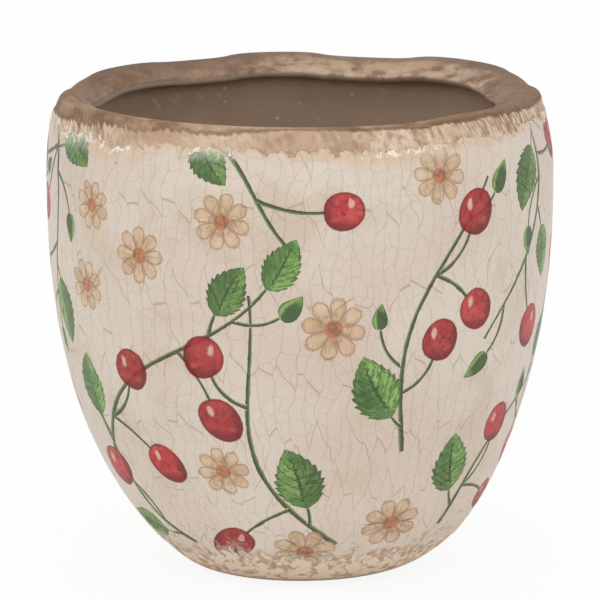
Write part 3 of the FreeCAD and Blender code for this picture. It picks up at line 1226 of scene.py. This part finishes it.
printLook = {
    "leafDeep": srgb(50, 84, 40),
    "leaf": srgb(92, 140, 66),
    "leafPale": srgb(146, 182, 104),
    "stem": srgb(82, 108, 58),
    "stemDeep": srgb(50, 60, 38),
    "stemPale": srgb(122, 154, 86),
    "bud": srgb(62, 90, 46),
    "budPale": srgb(134, 168, 96),
    "red": srgb(182, 42, 48),
    "redDeep": srgb(112, 14, 24),
    "redPale": srgb(206, 84, 80),
    "shine": srgb(224, 184, 170),
    "petal": srgb(196, 162, 124),
    "petalDeep": srgb(152, 114, 82),
    "petalPale": srgb(216, 192, 164),
    "heart": srgb(188, 112, 66),
    "heartDeep": srgb(140, 84, 50),
    "petals": 8.0,
    "teeth": 9.0,
    "veins": 6.5,
}


# Motifs: u and v run along and across a leaf or bud, x and y over a cherry or daisy, to 1 at the outline

def leafPaint(made, u, v, tint):  # colour and mask, toothed along both sides
    look = printLook
    tooth = (u * look["teeth"] + v.math("SIGN") * 0.2) % 1.0
    across = abs(v) + (1.0 - tooth) * 0.17 * u.above(0.12, 0.06)
    mask = (across + (made.fine - 0.5) * 0.12).below(1.12, 0.03)
    ribs = u * look["veins"] - abs(v) * 2.1
    brush = made.noise(made.combine(ribs * 1.3, v * 1.1, tint * 9.0), 2.4, 3.0, 0.6)
    paint = Paint(made, look, "leaf")
    paint.over((made.wash * 0.5 + brush * 0.5).above(0.5, 0.1), "leafPale")
    paint.over((v + brush * 0.9).above(0.55, 0.3) * 0.6, "leafDeep")
    paint.over(brush.below(0.42, 0.08) * 0.45, "leafDeep")
    paint.over(tint.above(0.6, 0.1) * 0.4, "bud")
    paint.over(abs(ribs % 1.0 - 0.5).above(0.43, 0.035) * across.below(1.0, 0.05) * 0.7, "leafDeep")
    paint.over(abs(v).below(0.075, 0.04) * 0.9, "leafDeep")
    paint.over((across + (made.fine - 0.5) * 0.3).above(0.98, 0.07) * 0.75, "leafDeep")
    return paint.color, mask


def budPaint(made, u, v):
    paint = Paint(made, printLook, "bud")
    paint.over((v + made.wash).above(0.95, 0.18), "budPale")
    paint.over(u.above(0.72, 0.1) * made.wash.above(0.45, 0.1) * 0.6, "budPale")
    paint.over(abs(v).above(0.78, 0.1) * 0.7, "leafDeep")
    return paint.color


def cherryPaint(made, x, y, tint):
    def distance(across, upward):
        return made.combine(across, upward, 0.0).vector("LENGTH")

    paint = Paint(made, printLook, "red")
    paint.over(made.wash.above(0.5, 0.14) * 0.65, "redPale")
    paint.over(made.fine.above(0.57, 0.04) * 0.5, "redDeep")
    shade = distance(x + 0.3, y - 0.34) + (made.wash - 0.5) * 0.9
    paint.over(shade.above(0.98, 0.24) * 0.85, "redDeep")
    paint.over(tint.above(0.55, 0.1) * 0.35, "redDeep")
    gleam = distance((x + 0.36) * 1.5, (y - 0.38) * 0.9) + (made.fine - 0.5) * 0.25
    paint.over(gleam.below(0.22, 0.08) * 0.8, "shine")
    lower = distance(x - 0.42, (y + 0.4) * 1.4) + (made.fine - 0.5) * 0.3
    paint.over(lower.below(0.2, 0.1) * 0.45, "redPale")
    paint.over((distance(x, y) + (made.fine - 0.5) * 0.12).above(0.9, 0.05) * 0.8, "redDeep")
    return paint.color


def daisyPaint(made, x, y, tint):  # colour and mask
    look = printLook
    reach = made.combine(x, y, 0.0).vector("LENGTH")
    turn = y.math("ARCTAN2", x) + tint * fullTurn
    swing = abs((turn * (look["petals"] / 2)).math("COSINE"))
    edge = (0.52 + 0.44 * swing ** 0.42) * (0.97 + (made.fine - 0.5) * 0.16)
    paint = Paint(made, look, "petal")
    paint.over(made.wash.above(0.5, 0.2), "petalPale")
    paint.over(swing.below(0.42, 0.14) * reach.below(0.9, 0.1) * 0.7, "petalDeep")
    paint.over((edge - reach).below(0.07, 0.05) * 0.65, "petalDeep")
    paint.over(reach.below(0.5, 0.12) * made.fine.above(0.5, 0.1) * 0.6, "petalDeep")
    heart = made.blend(made.fine.above(0.52, 0.06), look["heart"], look["heartDeep"])
    paint.over((reach + (made.fine - 0.5) * 0.16).below(0.26, 0.04), heart)
    return paint.color, (edge - reach).above(0.0, 0.03)


glazeLook = {
    "milk": srgb(214, 202, 188),
    "rose": srgb(208, 191, 176),
    # painted light: paler glaze colour laid low on the wall
    "pale": srgb(234, 222, 208),
    "tan": srgb(194, 172, 146),
    "ochre": srgb(178, 148, 120),
    "peach": srgb(210, 184, 158),
    "crack": (0.7, 0.66, 0.61, 1.0),
    "wear": srgb(238, 229, 214),
    "faded": srgb(204, 206, 190),
    "cellSize": 6.2,
    "cellStretch": 0.2,
    "fineCell": 5.4,
    "crackWidth": 0.088,
    "crackWarp": 9.0,
    "seamWander": 14.0,
    "noises": {
        "cloud": (15.0, 3.0, 0.5, 0.3),
        "spread": (26.0, 4.0, 0.6, 0.6),
        "wash": (150.0, 3.0, 0.6),
        "fine": (420.0, 3.0, 0.6),
        "breaks": (95.0, 2.0),
        "uneven": (70.0, 2.0),
    },
}


class GlazeFinish(Finish):
    def __init__(self, width):
        super().__init__("crackleGlaze")
        self.textures(glazeLook["noises"])
        self.inside = self.attribute("cover")
        self.height = self.place.parts()[2]
        self.width = width

    def cracks(self):  # tall cells for the long cracks and flatter ones for the short cross cracks
        look = glazeLook
        u, v, _ = self.attribute("sheet", "Vector").parts()
        wander = self.noise(self.combine(0.0, 0.0, v * 0.045), 1.0) * look["seamWander"]
        shifted = (u + wander) % self.width
        warp = self.noise(self.place, 42.0, 3.0, output=1).vector("SUBTRACT", (0.5, 0.5, 0.5)).parts()
        across = shifted + warp[0] * look["crackWarp"]
        upward = v + warp[1] * 11.0
        tall = self.combine(across, upward * look["cellStretch"], 0.0)
        coarse = self.cells(tall, 1 / look["cellSize"], "DISTANCE_TO_EDGE", 0.72, "2D")
        low = self.combine(across * 0.85, upward * 0.9, 0.0)
        short = self.cells(low, 1 / look["fineCell"], "DISTANCE_TO_EDGE", 0.85, "2D")
        seam = shifted.below(0.14, 0.1) + shifted.above(self.width - 0.14, 0.1)
        wide = look["crackWidth"] * (0.55 + self.breaks)
        first = (coarse * look["cellSize"] / wide).below(1.0, 0.5) * self.breaks.above(0.29, 0.12)
        second = (short * look["fineCell"] / (wide * 0.85)).below(1.0, 0.5)
        return first.math("MAXIMUM", second * self.breaks.above(0.41, 0.06) * 0.75).math("MAXIMUM", seam)

    def enamel(self, paint):  # milky glaze, tinted where it thins out near its edge, with painted light making it paler low down
        paint.over(self.cloud.above(0.52, 0.14), "rose")
        paint.over(self.spread.above(0.61, 0.1) * 0.42, "tan")
        # painted light: the glaze painted paler towards the foot, against the floor's shade
        paint.over(self.height.below(45.0 * mm, 40.0 * mm) * 0.42, "pale")
        near = (self.inside + (self.spread - 0.5) * 22.0 + (self.wash - 0.5) * 7.0).below(3.0, 3.4)
        paint.over(near * 0.8, "peach")
        paint.over((self.inside + (self.wash - 0.5) * 6.0).below(0.7, 0.7) * 0.4, "ochre")

    def printed(self, paint):  # stems, then leaves, buds, cherries and daisies; returns where there is ink
        a, b, kind = self.attribute("motif", "Vector").parts()
        _, t, stemMark = self.attribute("stem", "Vector").parts()
        ragged = (self.fine - 0.5) * 0.35
        worn = (self.inside + (self.fine - 0.5) * 7.0).above(1.2, 1.0)
        swelling = 0.98 + (self.wash - 0.5) * 1.2
        inked = (abs(t) * swelling + ragged).below(1.0, 0.14) * stemMark.above(0.05, 0.01)
        stem = Paint(self, printLook, "stemDeep")
        stem.over((t + (self.wash - 0.5) * 1.2).above(0.1, 0.45), "stem")
        stem.over((t + ragged).above(0.62, 0.2) * 0.8, "stemPale")
        paint.over(inked * worn * 0.92, stem.color)
        tint = (kind % 1.0 - 0.1) / 0.8
        budMask = (abs(b) + ragged * 0.35).below(0.98, 0.04)
        cherryMask = (self.combine(a, b, 0.0).vector("LENGTH") + ragged * 0.22).below(0.99, 0.035)
        leaf, leafMask = leafPaint(self, a, b, tint)
        daisy, daisyMask = daisyPaint(self, a, b, tint)
        layers = ((leafMask, leaf, 0.95), (budMask, budPaint(self, a, b), 0.95),
                  (cherryMask, cherryPaint(self, a, b, tint), 0.95), (daisyMask, daisy, 0.86))
        for first, (mask, color, strength) in enumerate(layers, leafKind):
            shown = kind.above(first, 0.01) * kind.below(first + 1, 0.01) * mask
            inked = inked.math("MAXIMUM", shown)
            paint.over(shown * worn * strength, color)
        return inked

    def wear(self, paint, inked):  # the print fades near the edge, pale flecks follow it, the foot is chipped
        faded = (self.inside + (self.spread - 0.5) * 16.0).below(4.5, 3.0) * inked
        paint.over(faded * 0.45, "faded")
        flecks = (self.inside + (self.fine - 0.5) * 9.0).below(3.4, 0.5) * self.fine.above(0.53, 0.03)
        paint.over(flecks * inked.math("MAXIMUM", self.cloud.above(0.5, 0.05)) * 0.95, "wear")
        side = abs(self.around() + 0.1).above(0.25, 0.35)
        low = (self.height - side * (14.0 * mm)).below(40.0 * mm, 12.0 * mm)
        flaky = self.noise(self.place, *footGrain)
        chipped = flaky - self.inside * (0.017 - side * 0.008) + (self.spread - 0.5) * 0.25
        paint.over(chipped.above(0.53, 0.02) * low * 0.85, clayLook["footBare"])
        paint.over((flaky + self.inside * 0.01).below(0.4, 0.02) * low * 0.6, "wear")


def glazeFinish(width):
    made = GlazeFinish(width)
    paint = Paint(made, glazeLook, "milk")
    made.enamel(paint)
    made.wear(paint, made.printed(paint))
    cracks = made.cracks()
    paint.over(cracks * 0.88, "crack", "MULTIPLY")
    relief = cracks * -0.6 + made.uneven * 0.6
    return made.finished(paint.color, 0.32 + made.wash * 0.14, 0.24, relief, 0.12 * mm)


feltLook = {
    "wool": srgb(196, 182, 166),
    "woolPale": srgb(222, 210, 196),
    "fibre": (1600.0, 3.0, 0.7, 1.5),
}


def feltFinish():
    made = Finish("felt")
    fibre = made.noise(made.place, *feltLook["fibre"])
    color = made.blend(fibre.above(0.5, 0.15), feltLook["wool"], feltLook["woolPale"])
    return made.finished(color, 0.95, 0.1, fibre, 0.3 * mm, 0.8)


# Pieces on the frame

coatSizes = {
    "thickness": 0.5 * mm,
    "columns": 360,
    "rows": (44, 1.8),
}


def coatProfile():
    thick = coatSizes["thickness"]
    outside = wallRun(innerRadius, floorLevel, lipLevel, *coatSizes["rows"])
    inside = []
    for index, (radius, level) in enumerate(outside):
        low = outside[max(index - 1, 0)]
        high = outside[min(index + 1, len(outside) - 1)]
        scale = thick / math.dist(low, high)
        inside.append((radius - (high[1] - low[1]) * scale, level + (high[0] - low[0]) * scale))
    inside[0] = (outside[0][0] - thick, floorLevel + thick)
    return [(0.0, floorLevel)] + outside + inside[::-1] + [(0.0, floorLevel + thick)]


padSizes = {
    "count": 3,
    "round": 0.4 * mm,
    "segments": 48,
    "sharpAngle": 50,
}


def padPiece(index, material):
    low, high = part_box("felt_pad_%d" % (index + 1))
    middle = (low + high) / 2
    radius = (high.x - low.x) / 2
    soft = padSizes["round"]
    count = padSizes["segments"]
    rings = ((radius - soft, low.z), (radius - soft * 0.3, low.z + soft * 0.3),
             (radius, low.z + soft), (radius, high.z))
    coords = [(middle.x, middle.y, low.z), (middle.x, middle.y, high.z)]
    for across, level in rings:
        for step in range(count):
            turn = fullTurn * step / count
            coords.append((middle.x + across * math.cos(turn), middle.y + across * math.sin(turn), level))
    last = len(coords) - count
    faces = []
    for step in range(count):
        after = (step + 1) % count
        faces.append((0, 2 + after, 2 + step))
        faces += [(first + step, first + after, first + count + after, first + count + step)
                  for first in range(2, last, count)]
        faces.append((1, last + step, last + after))
    mesh = bpy.data.meshes.new("feltPad%d" % (index + 1))
    mesh.from_pydata(coords, [], faces)
    mesh.materials.append(material)
    mesh.shade_smooth()
    mesh.set_sharp_from_angle(angle=math.radians(padSizes["sharpAngle"]))
    return addObject(mesh.name, mesh)


def seat(piece, node):
    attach(piece, "root")
    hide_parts(node)


clayBody = spin("clayBody", clayProfile(), profileCuts["columns"], clayFinish())
seat(clayBody, "clay_body")
print("clay:", len(clayBody.data.polygons), "faces")

wall = Wall()
glaze = glazePiece(wall, Cover(wall), decorate(wall), glazeFinish(wall.width))
seat(glaze, "outer_glaze")

coat = spin("innerCoat", coatProfile(), coatSizes["columns"], coatFinish())
seat(coat, "inner_coat")

felt = feltFinish()
for index in range(padSizes["count"]):
    seat(padPiece(index, felt), "felt_pad_%d" % (index + 1))
print("coat and pads placed")


# Camera, floor and light

stage = {
    "camera": (0.0, -2.0, 0.5077),
    "pitch": 11.38,
    "lens": 309.0,
    "sensor": 36.0,
    "floorReach": 20.0,
    "floorColor": srgb(250, 249, 248),
    "floorRoughness": 0.9,
    "floorGlow": 0.9,
    "sky": 0.93,
    "white": (1.0, 1.0, 1.0, 1.0),
    "lampPlace": (-0.2, -2.0, 1.3),
    "lampAim": (0.0, 0.0, 0.1),
    "lampSize": 2.2,
    "lampPower": 8.5,
}

camera = addObject("camera", bpy.data.cameras.new("camera"))
camera.location = stage["camera"]
camera.rotation_euler = (math.radians(90 - stage["pitch"]), 0, 0)
camera.data.lens = stage["lens"]
camera.data.sensor_width = stage["sensor"]
scene.camera = camera

paleFloor = Finish("paleFloor")
paleFloor.put(Base_Color=stage["floorColor"], Roughness=stage["floorRoughness"], Specular_IOR_Level=0.1)
glow = paleFloor.node("ShaderNodeEmission", {}, {"Color": stage["white"], "Strength": 1.0})
seen = paleFloor.node("ShaderNodeLightPath", {}, (), "Is Camera Ray")
shaded = Wire(paleFloor, paleFloor.shader.outputs[0])
both = paleFloor.node("ShaderNodeMixShader", {}, (seen * stage["floorGlow"], shaded, glow))
paleFloor.feed(paleFloor.tree.nodes["Material Output"].inputs[0], both)
reach = stage["floorReach"]
floor = addObject("floor", bpy.data.meshes.new("floor"))
floor.data.from_pydata([(-reach, -reach, 0), (reach, -reach, 0), (reach, reach, 0), (-reach, reach, 0)], [],
                       [(0, 1, 2, 3)])
floor.data.materials.append(paleFloor.material)

world = bpy.data.worlds.new("studio")
scene.world = world
world.use_nodes = True
sky = NodeBench(world.node_tree)
backdrop = world.node_tree.nodes["Background"]
backdrop.inputs["Color"].default_value = stage["white"]
direct = sky.node("ShaderNodeLightPath", {}, (), "Is Camera Ray")
sky.feed(backdrop.inputs["Strength"], direct * (1 - stage["sky"]) + stage["sky"])

lamp = addObject("softbox", bpy.data.lights.new("softbox", "AREA"))
lamp.data.shape = "SQUARE"
lamp.data.size = stage["lampSize"]
lamp.data.energy = stage["lampPower"]
lamp.location = stage["lampPlace"]
lamp.rotation_euler = (Vector(stage["lampAim"]) - lamp.location).to_track_quat("-Z", "Y").to_euler()
scene.view_settings.view_transform = "Standard"
